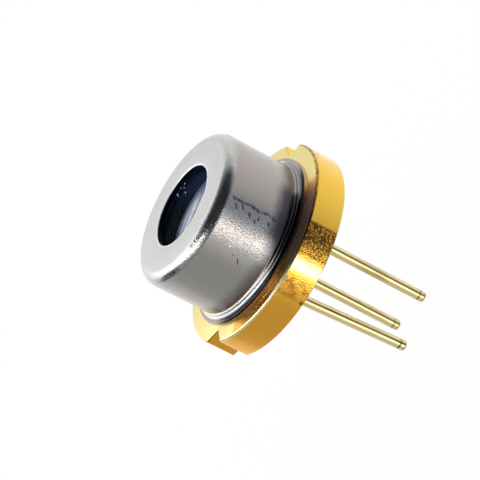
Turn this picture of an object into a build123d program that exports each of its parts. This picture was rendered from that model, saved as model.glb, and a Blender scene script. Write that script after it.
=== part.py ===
from build123d import *
import os
from math import cos, radians, sin, tan

# Laser diode in a metal can: gold-plated stem with three leads, nickel cap with a window, chip inside.
# Millimetres. The origin is the centre of the stem's front face, the beam leaves along +Z,
# the V notches lie on X, and the index slot and the common lead lie on +Y.

# Stem: a disc whose front face is the seat.
STEM_DIAMETER = 9.0
STEM_THICKNESS = 1.4
STEM_FRONT_ROUND = 0.05
STEM_REAR_ROUND = 0.08
NOTCH_ROUND = 0.1
V_NOTCH_DEPTH = 0.56
V_NOTCH_ANGLE = 100.0
INDEX_SLOT_WIDTH = 1.0
INDEX_SLOT_DEPTH = 0.45

# Leads on one circle about the axis, and the glass beads round the two insulated ones.
# The monitor lead was bent a little towards the axis where it leaves the stem.
LEAD_CIRCLE = 2.54
LEAD_DIAMETER = 0.45
LEAD_LENGTH = 6.75
LEAD_TIP_ROUND = 0.1
MONITOR_LEAD_LEAN = 2.6
LEAD_BEND = 1.0
COMMON_LEAD_SEAT = 0.1
MONITOR_POST_HEIGHT = 0.8
SEAL_DIAMETER = 1.0
SEAL_RECESS = 0.05

# Cap: one drawn shell with an aperture in its top and a brim in two steps at its foot.
CAP_DIAMETER = 6.8
CAP_HEIGHT = 3.5
CAP_WALL = 0.25
CAP_SHOULDER_ROUND = 0.45
CAP_LIP = 1.6
APERTURE_ROUND = 0.05
BRIM_DIAMETER = 7.5
BRIM_THICKNESS = 0.17
BRIM_STEP_WIDTH = 0.18
BRIM_STEP_RISE = 0.11
BRIM_ROUND = 0.05

# Window, sealed to the underside of the cap's top inside the shoulder's inner round.
WINDOW_THICKNESS = 0.25
WINDOW_SEAL_WIDTH = 0.25
WINDOW_SEAL_CLEARANCE = 0.3

# Heat sink and what it carries. The chip's mounted side lies on the axis.
EMITTER_HEIGHT = 2.3
HEAT_SINK_CLEARANCE = 0.65
POST_CLEARANCE = 0.08
SUBMOUNT_WIDTH = 0.75
SUBMOUNT_THICKNESS = 0.3
SUBMOUNT_HEIGHT = 0.9
CHIP_WIDTH = 0.3
CHIP_THICKNESS = 0.1
CHIP_LENGTH = 0.7

# Monitor photodiode, on the stem under the chip.
PHOTODIODE_WIDTH = 0.8
PHOTODIODE_THICKNESS = 0.25
PHOTODIODE_SETBACK = 0.15

# Bond wires
WIRE_DIAMETER = 0.04
WIRE_LOOP = 0.3
WIRE_BEND = 0.1
WIRE_FOOT_MARGIN = 0.08

STEM_RADIUS = STEM_DIAMETER / 2
LEAD_OFFSET = LEAD_CIRCLE / 2
LEAD_RADIUS = LEAD_DIAMETER / 2
SEAL_RADIUS = SEAL_DIAMETER / 2
LEAD_TIP_Z = -STEM_THICKNESS - LEAD_LENGTH
CAP_RADIUS = CAP_DIAMETER / 2
CAP_BORE_RADIUS = CAP_RADIUS - CAP_WALL
CAP_INNER_ROUND = CAP_SHOULDER_ROUND - CAP_WALL
CAP_CEILING = CAP_HEIGHT - CAP_WALL
WINDOW_SEAL_RADIUS = CAP_BORE_RADIUS - CAP_INNER_ROUND - WINDOW_SEAL_CLEARANCE
WINDOW_RADIUS = WINDOW_SEAL_RADIUS - WINDOW_SEAL_WIDTH
WINDOW_BOTTOM = CAP_CEILING - WINDOW_THICKNESS
HEAT_SINK_BACK_RADIUS = CAP_BORE_RADIUS - HEAT_SINK_CLEARANCE
HEAT_SINK_FACE_Y = SUBMOUNT_THICKNESS
CHIP_FACE_Y = -CHIP_THICKNESS
SUBMOUNT_PAD_Z = EMITTER_HEIGHT - SUBMOUNT_HEIGHT / 2
LASER_POST_HEIGHT = SUBMOUNT_PAD_Z - WIRE_LOOP
LASER_LEAD_X = LEAD_OFFSET
MONITOR_LEAD_X = -LEAD_OFFSET
PHOTODIODE_Y = HEAT_SINK_FACE_Y - PHOTODIODE_SETBACK - PHOTODIODE_WIDTH / 2


def rod(radius, bottom, top, x=0.0, y=0.0):
    """An upright cylinder between two heights."""
    return Pos(x, y, bottom) * extrude(Circle(radius), amount=top - bottom)


def slab(width, depth, height, x, y, bottom):
    """A box centred on x and y that stands on a height."""
    return Pos(x, y, bottom) * extrude(Rectangle(width, depth), amount=height)


def v_notch():
    """Triangle that opens through the rim on +X."""
    reach = 2 * V_NOTCH_DEPTH
    half_mouth = reach * tan(radians(V_NOTCH_ANGLE / 2))
    apex = STEM_RADIUS - V_NOTCH_DEPTH
    corners = [(apex, 0), (apex + reach, half_mouth), (apex + reach, -half_mouth)]
    return make_face(Polyline(*corners, close=True))


def stem_base():
    """Disc with notches in its rim, holes for the seals and a seat for the common lead."""
    slot = Rectangle(INDEX_SLOT_WIDTH, 2 * INDEX_SLOT_DEPTH)
    outline = Circle(STEM_RADIUS) - Pos(0, STEM_RADIUS) * slot
    for turn in (0, 180):
        outline -= Rot(0, 0, turn) * v_notch()
    outline = fillet(outline.vertices(), NOTCH_ROUND)
    disc = extrude(outline, amount=-STEM_THICKNESS)
    disc = fillet(disc.faces().sort_by(Axis.Z)[-1].edges(), STEM_FRONT_ROUND)
    disc = fillet(disc.faces().sort_by(Axis.Z)[0].edges(), STEM_REAR_ROUND)
    for x in (LASER_LEAD_X, MONITOR_LEAD_X):
        disc -= rod(SEAL_RADIUS, -STEM_THICKNESS, 0, x)
    seat_top = -STEM_THICKNESS + COMMON_LEAD_SEAT
    return disc - rod(LEAD_RADIUS, -STEM_THICKNESS, seat_top, y=LEAD_OFFSET)


def wire_along(path, radius):
    """Round wire that follows a path."""
    section = Plane(origin=path @ 0, z_dir=path % 0) * Circle(radius)
    return sweep(section, path=path)


def round_tip(wire):
    """The wire with the rim of its lower end rounded."""
    return fillet(wire.edges().sort_by(Axis.Z)[0], LEAD_TIP_ROUND)


def straight_lead(top, x=0.0, y=0.0):
    """Lead from its tip up to its top inside the stem or the can."""
    return round_tip(rod(LEAD_RADIUS, LEAD_TIP_Z, top, x, y))


def monitor_lead():
    """Lead that leans towards the axis from the stem's rear face on."""
    lean = radians(MONITOR_LEAD_LEAN)
    bend = Vector(MONITOR_LEAD_X, 0, -STEM_THICKNESS)
    tip = bend + Vector(sin(lean), 0, -cos(lean)) * LEAD_LENGTH
    top = Vector(MONITOR_LEAD_X, 0, MONITOR_POST_HEIGHT)
    return round_tip(wire_along(FilletPolyline(tip, bend, top, radius=LEAD_BEND), LEAD_RADIUS))


def lead_seal(x):
    """Glass bead between an insulated lead and its hole in the stem."""
    bottom = -STEM_THICKNESS + SEAL_RECESS
    return rod(SEAL_RADIUS, bottom, -SEAL_RECESS, x) - rod(LEAD_RADIUS, bottom, -SEAL_RECESS, x)


def cap_shell():
    """Turned profile of the drawn cap, with its shoulder, aperture and brim rounded."""
    brim = BRIM_DIAMETER / 2
    step = CAP_RADIUS + BRIM_STEP_WIDTH
    step_top = BRIM_THICKNESS + BRIM_STEP_RISE
    aperture = CAP_RADIUS - CAP_LIP
    outline = [
        ((brim, 0), None),
        ((brim, BRIM_THICKNESS), BRIM_ROUND),
        ((step, BRIM_THICKNESS), BRIM_ROUND),
        ((step, step_top), BRIM_ROUND),
        ((CAP_RADIUS, step_top), BRIM_ROUND),
        ((CAP_RADIUS, CAP_HEIGHT), CAP_SHOULDER_ROUND),
        ((aperture, CAP_HEIGHT), APERTURE_ROUND),
        ((aperture, CAP_CEILING), None),
        ((CAP_BORE_RADIUS, CAP_CEILING), CAP_INNER_ROUND),
        ((CAP_BORE_RADIUS, 0), None),
    ]
    profile = make_face(Polyline(*[corner for corner, _ in outline], close=True))
    for corner, radius in outline:
        if radius:
            profile = fillet(profile.vertices().sort_by_distance(corner)[0], radius)
    return revolve(Plane.XZ * profile, Axis.Z)


def window_glass():
    """Flat round window against the underside of the cap's top."""
    return rod(WINDOW_RADIUS, WINDOW_BOTTOM, CAP_CEILING)


def window_seal():
    """Ring of sealing glass round the window's edge."""
    ring = rod(WINDOW_SEAL_RADIUS, WINDOW_BOTTOM, CAP_CEILING)
    return ring - rod(WINDOW_RADIUS, WINDOW_BOTTOM, CAP_CEILING)


def heat_sink():
    """D-shaped block with a flat face for the submount and room for the insulated posts."""
    depth = HEAT_SINK_BACK_RADIUS - HEAT_SINK_FACE_Y
    half_plane = Rectangle(2 * HEAT_SINK_BACK_RADIUS, depth, align=(Align.CENTER, Align.MIN))
    outline = Circle(HEAT_SINK_BACK_RADIUS) & Pos(0, HEAT_SINK_FACE_Y) * half_plane
    for x in (LASER_LEAD_X, MONITOR_LEAD_X):
        outline -= Pos(x, 0) * Circle(SEAL_RADIUS + POST_CLEARANCE)
    return extrude(outline, amount=EMITTER_HEIGHT)


def submount():
    """Ceramic carrier on the heat sink's face, level with its top."""
    bottom = EMITTER_HEIGHT - SUBMOUNT_HEIGHT
    return slab(SUBMOUNT_WIDTH, SUBMOUNT_THICKNESS, SUBMOUNT_HEIGHT, 0, SUBMOUNT_THICKNESS / 2, bottom)


def laser_chip():
    """Edge emitter on the submount, with its front facet level with the carrier's edge."""
    bottom = EMITTER_HEIGHT - CHIP_LENGTH
    return slab(CHIP_WIDTH, CHIP_THICKNESS, CHIP_LENGTH, 0, CHIP_FACE_Y / 2, bottom)


def monitor_photodiode():
    """Square chip on the stem, under the laser chip's rear facet."""
    return slab(PHOTODIODE_WIDTH, PHOTODIODE_WIDTH, PHOTODIODE_THICKNESS, 0, PHOTODIODE_Y, 0)


def bond_wire(*points):
    """Round wire along straight runs joined by tangent bends."""
    return wire_along(FilletPolyline(*points, radius=WIRE_BEND), WIRE_DIAMETER / 2)


def laser_wire():
    """From the top of the laser lead to the submount, beside the chip."""
    pad_x = (SUBMOUNT_WIDTH + CHIP_WIDTH) / 4
    return bond_wire(
        (LASER_LEAD_X, 0, LASER_POST_HEIGHT),
        (LASER_LEAD_X, 0, SUBMOUNT_PAD_Z),
        (pad_x, -WIRE_LOOP, SUBMOUNT_PAD_Z),
        (pad_x, 0, SUBMOUNT_PAD_Z),
    )


def chip_wire():
    """From the chip's open face to the heat sink, beside the submount."""
    chip_z = EMITTER_HEIGHT - CHIP_LENGTH / 2
    foot_x = -(SUBMOUNT_WIDTH / 2 + WIRE_FOOT_MARGIN)
    loop_y = CHIP_FACE_Y - WIRE_LOOP
    return bond_wire(
        (0, CHIP_FACE_Y, chip_z),
        (0, loop_y, chip_z),
        (foot_x, loop_y, chip_z),
        (foot_x, HEAT_SINK_FACE_Y, chip_z),
    )


def monitor_wire():
    """From the top of the monitor lead to the photodiode."""
    loop_z = MONITOR_POST_HEIGHT + WIRE_LOOP
    pad_x = -PHOTODIODE_WIDTH / 4
    return bond_wire(
        (MONITOR_LEAD_X, 0, MONITOR_POST_HEIGHT),
        (MONITOR_LEAD_X, 0, loop_z),
        (pad_x, PHOTODIODE_Y, loop_z),
        (pad_x, PHOTODIODE_Y, PHOTODIODE_THICKNESS),
    )


PIECES = {
    "stem_base": stem_base(),
    "common_lead": straight_lead(-STEM_THICKNESS + COMMON_LEAD_SEAT, y=LEAD_OFFSET),
    "laser_lead": straight_lead(LASER_POST_HEIGHT, LASER_LEAD_X),
    "monitor_lead": monitor_lead(),
    "laser_lead_seal": lead_seal(LASER_LEAD_X),
    "monitor_lead_seal": lead_seal(MONITOR_LEAD_X),
    "cap_shell": cap_shell(),
    "window_glass": window_glass(),
    "window_seal": window_seal(),
    "heat_sink": heat_sink(),
    "submount": submount(),
    "laser_chip": laser_chip(),
    "monitor_photodiode": monitor_photodiode(),
    "laser_wire": laser_wire(),
    "chip_wire": chip_wire(),
    "monitor_wire": monitor_wire(),
}

os.makedirs("parts", exist_ok=True)
for name, piece in PIECES.items():
    export_step(piece, f"parts/{name}.step")
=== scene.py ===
from math import atan2, cos, pi, radians, sin, sqrt, tan

import bmesh
import bpy
from bpy.props import FloatProperty, FloatVectorProperty, IntProperty, PointerProperty
from mathutils import Matrix, Quaternion, Vector


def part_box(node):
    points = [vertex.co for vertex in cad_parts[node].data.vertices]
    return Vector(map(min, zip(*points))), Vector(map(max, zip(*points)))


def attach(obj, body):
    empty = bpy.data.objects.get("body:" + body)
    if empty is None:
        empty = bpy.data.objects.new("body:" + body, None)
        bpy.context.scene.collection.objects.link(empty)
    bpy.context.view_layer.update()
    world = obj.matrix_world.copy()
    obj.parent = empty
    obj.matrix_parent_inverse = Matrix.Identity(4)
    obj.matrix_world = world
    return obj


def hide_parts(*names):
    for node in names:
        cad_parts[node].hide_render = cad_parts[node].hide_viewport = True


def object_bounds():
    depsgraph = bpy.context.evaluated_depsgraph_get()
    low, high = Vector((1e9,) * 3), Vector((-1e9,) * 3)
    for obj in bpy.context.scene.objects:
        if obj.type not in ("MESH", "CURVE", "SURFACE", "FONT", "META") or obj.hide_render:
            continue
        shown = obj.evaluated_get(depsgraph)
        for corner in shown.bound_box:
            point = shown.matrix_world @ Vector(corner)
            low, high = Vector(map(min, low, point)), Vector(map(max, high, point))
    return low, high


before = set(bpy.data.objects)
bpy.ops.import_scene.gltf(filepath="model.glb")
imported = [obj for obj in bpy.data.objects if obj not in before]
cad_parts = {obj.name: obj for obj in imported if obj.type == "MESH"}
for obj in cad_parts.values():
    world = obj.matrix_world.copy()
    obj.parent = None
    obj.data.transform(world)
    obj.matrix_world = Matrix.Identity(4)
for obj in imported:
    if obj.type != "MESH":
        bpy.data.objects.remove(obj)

bl_info = {
    "name": "Metal-can laser diode",
    "version": (1, 0, 0),
    "blender": (4, 5, 0),
    "location": "View3D > Sidebar > Laser diode",
    "description": "Finishes the stem, cap, window, leads and chips of a laser diode in a metal can",
    "category": "Object",
}

MM = 0.001
MERGE_DISTANCE = 1e-7
SHARP_ANGLE = radians(32)
BODY = "root"
# Steps round the stem, and round each lead, bead and hole.
STEM_STEPS = 240
LEAD_STEPS = 64
# Segments in each round of the cap, of a lead or bead, of a notch and of the stem's edges.
CAP_SEGMENTS = 12
LEAD_SEGMENTS = 8
NOTCH_SEGMENTS = 6
EDGE_SEGMENTS = 5
# Width of a bead's glass, as a multiple of the round in its dip.
BEAD_DISH = 2.2

CAD_LOW, CAD_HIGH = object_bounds()
CAP_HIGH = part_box("cap_shell")[1]
STEM_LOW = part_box("stem_base")[0]
WINDOW_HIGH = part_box("window_glass")[1]
BEAD_LOW, BEAD_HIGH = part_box("laser_lead_seal")
STEM_RADIUS = -STEM_LOW.y
STEM_FRONT = 0.0
STEM_REAR = STEM_LOW.z
BRIM_RADIUS = CAP_HIGH.x
CAP_TOP = CAP_HIGH.z
CAP_CEILING = WINDOW_HIGH.z
BEAD_RADIUS = (BEAD_HIGH.x - BEAD_LOW.x) / 2


def length(name, description, millimetres):
    """A size property in metres, given in millimetres."""
    return FloatProperty(name=name, description=description, default=millimetres * MM, min=0.0,
                         precision=5, subtype="DISTANCE", unit="LENGTH")


def angle(name, description, degrees):
    """An angle property, given in degrees."""
    return FloatProperty(name=name, description=description, default=radians(degrees),
                         subtype="ANGLE", unit="ROTATION")


def colour(name, description, red, green, blue):
    """A linear colour property."""
    return FloatVectorProperty(name=name, description=description, default=(red, green, blue),
                               min=0.0, max=1.0, size=3, subtype="COLOR")


def level(name, description, value):
    """A plain number property that can't be negative."""
    return FloatProperty(name=name, description=description, default=value, min=0.0)


class CapSettings(bpy.types.PropertyGroup):
    """Sizes and colours of the drawn cap."""

    radius: length("Wall radius", "Outside of the cap's upright wall", 3.4)
    wall: length("Wall", "Thickness of the drawn sheet", 0.25)
    shoulder: length("Shoulder", "Outer round between the wall and the top", 0.45)
    aperture: length("Aperture radius", "Hole in the cap's top", 1.8)
    crown: length("Crown", "How far the top falls towards the shoulder", 0.045)
    crown_radius: length("Crown radius", "Where the top starts to fall", 2.6)
    crown_round: length("Crown round", "Round where the top starts to fall", 0.3)
    ledge_width: length("Ledge width", "How far the upper ledge stands out from the wall", 0.09)
    ledge_rise: length("Ledge rise", "Height of the upper ledge above the brim's inner step", 0.11)
    bead_round: length("Bead round", "Round on the ledge and on the inner step", 0.085)
    brim_thickness: length("Brim thickness", "Height of the brim's outer step", 0.17)
    step_width: length("Step width", "Width of the brim's inner step", 0.18)
    step_rise: length("Step rise", "Height of the inner step above the outer one", 0.11)
    edge_round: length("Edge round", "Round on the brim's and the aperture's edges", 0.05)
    face_tint: colour("Face", "Satin nickel on the cap's top", 0.72, 0.715, 0.705)
    # Painted highlight: a bright ring of colour round the aperture's edge. The chip on the wall takes this
    # colour too.
    edge_highlight_and_chip_tint: colour("Aperture edge", "Painted highlight round the aperture's edge, also the chip's colour", 0.93, 0.93, 0.95)
    # The wall's tints are darker than the top's, partly as painted shade, with a pink, green or blue cast.
    warm_wall_shade: colour("Warm wall", "Nickel on the wall, darker partly as painted shade, with a pink cast", 0.445, 0.405, 0.385)
    green_wall_shade: colour("Green wall", "Nickel on the wall, darker partly as painted shade, with a green cast", 0.40, 0.41, 0.365)
    cool_wall_shade: colour("Cool wall", "Nickel beside the scratches, darker partly as painted shade, with a blue cast", 0.39, 0.41, 0.44)
    # Painted dark reflection on one side of the shoulder.
    shade_tint: colour("Shoulder shade", "Painted dark reflection, bluish, on one side of the shoulder", 0.38, 0.42, 0.46)
    # Painted shade and dark reflection: the wall's foot and the brim are coloured darker, deepest on one
    # stretch.
    foot_shade_tint: colour("Foot", "Painted shade on the nickel above the brim", 0.21, 0.18, 0.17)
    deep_shade_tint: colour("Deep foot shade", "Deepest painted shade on the nickel above the brim", 0.075, 0.075, 0.09)
    brim_tint: colour("Brim", "Bare nickel on the brim's steps", 0.86, 0.84, 0.83)
    # Painted shade: the brim's top is coloured black.
    brim_shade_tint: colour("Weld", "Painted shade: black top of the welded brim", 0.022, 0.022, 0.028)
    bare_weld_tint: colour("Bare weld", "Top of the welded brim where it isn't black", 0.45, 0.42, 0.41)
    seam_tint: colour("Seam", "Brown side of the welded brim", 0.62, 0.47, 0.38)
    seam_shade_tint: colour("Seam shade", "Painted shade on the side of the welded brim", 0.25, 0.18, 0.14)
    # Painted shade: the cap's inside is coloured near black.
    navy_shade_tint: colour("Navy inside", "Black inside of the cap, near the laser lead", 0.006, 0.012, 0.035)
    teal_shade_tint: colour("Teal inside", "Black inside of the cap, near the monitor lead", 0.003, 0.008, 0.010)
    stain: colour("Stain", "Colour of the dirt in the scratches", 0.03, 0.034, 0.048)
    segments: IntProperty(name="Segments", description="Steps round the cap", default=256, min=32)


class StemSettings(bpy.types.PropertyGroup):
    """Sizes and colours of the stem."""

    front_round: length("Front round", "Round on the front edge", 0.1)
    rear_round: length("Rear round", "Round on the rear edge", 0.08)
    notch_depth: length("Notch depth", "Depth of each V notch", 0.56)
    notch_angle: angle("Notch angle", "Angle between the faces of a V notch", 100)
    slot_width: length("Slot width", "Width of the index slot", 1.0)
    slot_depth: length("Slot depth", "Depth of the index slot", 0.45)
    notch_round: length("Notch round", "Round on the corners of the notches", 0.1)
    front_tint: colour("Front gold", "Pale satin plating on the flat faces", 1.0, 0.85, 0.33)
    # Painted reflection of the cap on the flat faces.
    cap_reflection_tint: colour("Cap reflection", "Painted reflection of the cap, redder, on one side of the flat faces", 0.95, 0.475, 0.06)
    # Painted shade on the flat faces beside the cap's foot.
    deep_shade_tint: colour("Gold shade", "Painted shade on the gold beside the cap's foot", 0.40, 0.265, 0.21)
    scuffed_tint: colour("Brown gold", "Plating where it is scuffed or smoky", 0.18, 0.075, 0.022)
    tint: colour("Gold", "Bright plating on the rim", 0.95, 0.60, 0.085)
    deep_tint: colour("Deep gold", "Redder plating on the rim", 0.92, 0.46, 0.055)
    # Painted highlight: a pale stripe down the rim.
    worn_and_highlight_tint: colour("Worn gold", "Painted highlight: a pale stripe down the rim", 0.96, 0.87, 0.42)
    # Painted highlight on the front edge.
    edge_highlight_tint: colour("Edge", "Painted highlight on the front edge", 1.0, 0.88, 0.52)
    grime: colour("Grime", "Colour in the nicks", 0.05, 0.02, 0.008)


class LeadSettings(bpy.types.PropertyGroup):
    """Sizes and colours of the leads."""

    tip_round: length("Tip round", "Round on the end of each lead", 0.1)
    lean: angle("Lean", "How far the monitor lead leans towards the axis", 2.6)
    bend_half: length("Half bend", "Half the length of the monitor lead's bend", 0.02)
    weld_width: length("Weld width", "How far the common lead's weld spreads on the stem", 0.07)
    weld_height: length("Weld height", "How far the weld climbs the common lead", 0.11)
    tint: colour("Pale gold", "Colour of the plated wire", 0.94, 0.79, 0.40)
    worn_and_highlight_tint: colour("Worn gold", "Colour where the plating is thin", 0.58, 0.46, 0.22)
    # Tarnish on the ring, painted shade on the tips and painted dark reflections along the leads.
    tarnish_and_shade: colour("Tarnish", "Colour of the tarnished ring, of the painted dark lines and of the painted shade on the tips", 0.15, 0.105, 0.035)


class InsideSettings(bpy.types.PropertyGroup):
    """Sizes and colours of the seals, the window and the chips."""

    meniscus: length("Meniscus", "How far the glass beads dip between lead and stem", 0.05)
    bead: colour("Bead glass", "Colour of the beads round the insulated leads", 0.016, 0.026, 0.03)
    window: colour("Window", "Film on the window, towards the monitor lead", 0.003, 0.012, 0.015)
    window_blue: colour("Blue window", "Film on the window, towards the laser lead", 0.017, 0.032, 0.095)
    dust: colour("Dust", "Colour of the dust on the window", 0.85, 0.87, 0.9)
    frit: colour("Seal", "Colour of the sealing glass round the window", 0.012, 0.012, 0.014)
    sink: colour("Heat sink", "Colour of the plated heat sink", 0.80, 0.82, 0.97)
    # Painted shade near the heat sink's edge.
    sink_shade: colour("Heat sink edge", "Painted shade near the edge of the heat sink", 0.05, 0.06, 0.12)
    ceramic: colour("Submount", "Colour of the ceramic carrier", 0.66, 0.63, 0.54)
    crystal: colour("Laser chip", "Colour of the semiconductor", 0.08, 0.08, 0.10)
    silicon: colour("Photodiode", "Colour of the coated silicon", 0.02, 0.025, 0.075)
    wire: colour("Bond wire", "Colour of the gold wire", 0.26, 0.18, 0.07)


class StageSettings(bpy.types.PropertyGroup):
    """Camera, floor and light."""

    azimuth: angle("Azimuth", "Camera's direction round the axis, from -Y towards +X", -13.7)
    elevation: angle("Elevation", "Camera's height above the horizon", 21.813)
    roll: angle("Roll", "How far the beam's axis leans to the left in the picture", 62.577)
    aim: FloatVectorProperty(name="Aim", description="Point at the centre of the picture",
                             default=(-0.115 * MM, 0.224 * MM, 0.477 * MM), size=3,
                             precision=6, subtype="TRANSLATION", unit="LENGTH")
    distance: length("Distance", "From the camera to the aim", 110.0)
    lens: level("Lens", "Focal length in millimetres on a 36 mm sensor", 202.23)
    floor_half: length("Floor half width", "Half the width of the floor", 1000.0)
    floor: colour("Floor", "Colour of the floor", 0.86, 0.86, 0.86)
    strip: level("Strip light", "Brightness of the strip light above the horizon", 6.0)
    lamp: level("Lamp", "Brightness of the lamp below the horizon", 2.0)
    spot: level("Window spot", "Power of the lamp that shines in at the window, in watts", 0.35)
    spot_elevation: angle("Spot elevation", "Height of that lamp above the horizon", 52)
    spot_distance: length("Spot distance", "From that lamp to the window", 80.0)
    spot_cone: angle("Spot cone", "Width of that lamp's cone", 4.5)
    spot_size: length("Spot size", "Radius of that lamp", 1.5)


# Meshes

def rounded(bm, geom, affect, offset, segments):
    """Rounds vertices or edges."""
    bmesh.ops.bevel(bm, geom=geom, offset=offset, offset_type="OFFSET", segments=segments, profile=0.5,
                    affect=affect, material=-1)


def chain(bm, corners, closed, segments):
    """Edges through (radius, height, round) corners in the XZ plane, with each round worked in."""
    verts = [bm.verts.new((radius, 0.0, height)) for radius, height, _ in corners]
    for start, end in zip(verts, verts[1:]):
        bm.edges.new((start, end))
    if closed:
        bm.edges.new((verts[-1], verts[0]))
    for vert, (_, _, bend) in zip(verts, corners):
        if bend:
            rounded(bm, [vert], "VERTICES", bend, segments)


def turned(corners, steps, closed=False, segments=LEAD_SEGMENTS):
    """A bmesh of a profile spun round Z, with its seam and poles closed."""
    bm = bmesh.new()
    chain(bm, corners, closed, segments)
    bmesh.ops.spin(bm, geom=bm.verts[:] + bm.edges[:], cent=(0, 0, 0), axis=(0, 0, 1), dvec=(0, 0, 0),
                   angle=2 * pi, steps=steps, use_merge=True, use_normal_flip=False, use_duplicate=False)
    bmesh.ops.remove_doubles(bm, verts=bm.verts, dist=MERGE_DISTANCE)
    bmesh.ops.recalc_face_normals(bm, faces=bm.faces)
    return bm


def new_mesh(name, bm, finish):
    """A mesh with one finish, from a bmesh."""
    mesh = bpy.data.meshes.new(name)
    bm.to_mesh(mesh)
    bm.free()
    mesh.materials.append(finish)
    return mesh


def add_object(name, data):
    """A new object in the scene."""
    thing = bpy.data.objects.new(name, data)
    bpy.context.scene.collection.objects.link(thing)
    return thing


def add_piece(name, bm, finish, node):
    """Turns a bmesh into a smooth piece that rides on the part and stands for a CAD node."""
    mesh = new_mesh(name, bm, finish)
    mesh.shade_smooth()
    mesh.set_sharp_from_angle(angle=SHARP_ANGLE)
    piece = add_object(name, mesh)
    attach(piece, BODY)
    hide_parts(node)


def dress(node, finish):
    """Gives a CAD node its finish."""
    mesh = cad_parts[node].data
    mesh.materials.clear()
    mesh.materials.append(finish)


# Finishes

# Most of a noise lies between these levels.
NOISE_LOW = 0.3
NOISE_HIGH = 0.7
# Part of a spot's radius that is full, and parts of a mark's half length and half width that are.
SPOT_CORE = 0.3
MARK_CORE_LENGTH = 0.6
MARK_CORE_WIDTH = 0.35


def new_finish(name, **values):
    """A material with one Principled shader, its nodes and its inputs, some of them with these values."""
    finish = bpy.data.materials.new(name)
    finish.use_nodes = True
    inputs = finish.node_tree.nodes["Principled BSDF"].inputs
    for socket, value in values.items():
        inputs[socket.replace("_", " ")].default_value = value
    return finish, finish.node_tree, inputs


def feed(tree, socket, value):
    """Links a socket to an output, or sets its number, vector or colour."""
    if isinstance(value, bpy.types.NodeSocket):
        tree.links.new(value, socket)
    elif socket.type == "RGBA":
        socket.default_value = (*value, 1.0)
    else:
        socket.default_value = value


def scaled(tint, factor):
    """A colour made darker or paler by a factor."""
    return tuple(part * factor for part in tint)


def place(tree, scale=(1, 1, 1)):
    """Object coordinates, stretched by a scale."""
    coordinates = tree.nodes.new("ShaderNodeTexCoord")
    mapping = tree.nodes.new("ShaderNodeMapping")
    mapping.inputs["Scale"].default_value = scale
    tree.links.new(coordinates.outputs["Object"], mapping.inputs["Vector"])
    return mapping.outputs["Vector"]


def noise(tree, size, scale=(1, 1, 1), detail=3.0, roughness=0.55):
    """Noise whose features have about the given size."""
    node = tree.nodes.new("ShaderNodeTexNoise")
    node.inputs["Scale"].default_value = 1 / size
    node.inputs["Detail"].default_value = detail
    node.inputs["Roughness"].default_value = roughness
    tree.links.new(place(tree, scale), node.inputs["Vector"])
    return node.outputs["Fac"]


def cells(tree, size, output):
    """Irregular cells of about the given size: their random value, or the distance from their middles."""
    node = tree.nodes.new("ShaderNodeTexVoronoi")
    node.inputs["Scale"].default_value = 1 / size
    tree.links.new(place(tree), node.inputs["Vector"])
    return node.outputs[output]


def span(tree, value, low, high, out_low=0.0, out_high=1.0):
    """A value eased from one range to another."""
    node = tree.nodes.new("ShaderNodeMapRange")
    node.interpolation_type = "SMOOTHSTEP"
    feed(tree, node.inputs["Value"], value)
    node.inputs["From Min"].default_value = low
    node.inputs["From Max"].default_value = high
    node.inputs["To Min"].default_value = out_low
    node.inputs["To Max"].default_value = out_high
    return node.outputs["Result"]


def vary(tree, pattern, low, high):
    """A number that goes from low to high with a noise."""
    return span(tree, pattern, NOISE_LOW, NOISE_HIGH, low, high)


def maths(tree, operation, *values):
    """A Math node on one to three values."""
    node = tree.nodes.new("ShaderNodeMath")
    node.operation = operation
    for socket, value in zip(node.inputs, values):
        feed(tree, socket, value)
    return node.outputs["Value"]


def product(tree, first, *others):
    """Several values multiplied together."""
    for value in others:
        first = maths(tree, "MULTIPLY", first, value)
    return first


def either(tree, first, *others):
    """The largest of several values."""
    for value in others:
        first = maths(tree, "MAXIMUM", first, value)
    return first


def sway(tree, pattern, width):
    """A noise as a shift to both sides, over a width."""
    return maths(tree, "MULTIPLY_ADD", pattern, width, -width / 2)


def vector_maths(tree, operation, first, second=(0, 0, 0)):
    """A Vector Math node, read by its value for dot products, distances and lengths."""
    node = tree.nodes.new("ShaderNodeVectorMath")
    node.operation = operation
    feed(tree, node.inputs[0], first)
    feed(tree, node.inputs[1], second)
    by_value = operation in ("DOT_PRODUCT", "DISTANCE", "LENGTH")
    return node.outputs["Value" if by_value else "Vector"]


def mixed(tree, kind, factor, first, second):
    """A Mix node for one kind of value."""
    node = tree.nodes.new("ShaderNodeMix")
    node.data_type = kind
    feed(tree, node.inputs["Factor"], factor)
    feed(tree, node.inputs["A"], first)
    feed(tree, node.inputs["B"], second)
    return node.outputs["Result"]


def blend(tree, factor, first, second):
    """Two colours mixed by a factor."""
    return mixed(tree, "RGBA", factor, first, second)


def blend_value(tree, factor, first, second):
    """Two numbers mixed by a factor."""
    return mixed(tree, "FLOAT", factor, first, second)


def relief(tree, height, distance, below=None):
    """A bump of the given depth, on top of another."""
    node = tree.nodes.new("ShaderNodeBump")
    node.inputs["Distance"].default_value = distance
    feed(tree, node.inputs["Height"], height)
    if below is not None:
        tree.links.new(below, node.inputs["Normal"])
    return node.outputs["Normal"]


def near(tree, point, inner, outer):
    """One within a distance of a point, easing to nothing further out."""
    gap = vector_maths(tree, "DISTANCE", place(tree), point)
    return span(tree, gap, inner, outer, 1.0, 0.0)


def spots(tree, marks):
    """One on round spots, each a point and a radius, easing to nothing at their edges."""
    return either(tree, 0.0, *(near(tree, point, radius * SPOT_CORE, radius) for point, radius in marks))


def facing(azimuth, elevation=0.0):
    """Unit vector of a direction, with azimuth from -Y towards +X."""
    return Vector((sin(azimuth) * cos(elevation), -cos(azimuth) * cos(elevation), sin(elevation)))


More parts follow.
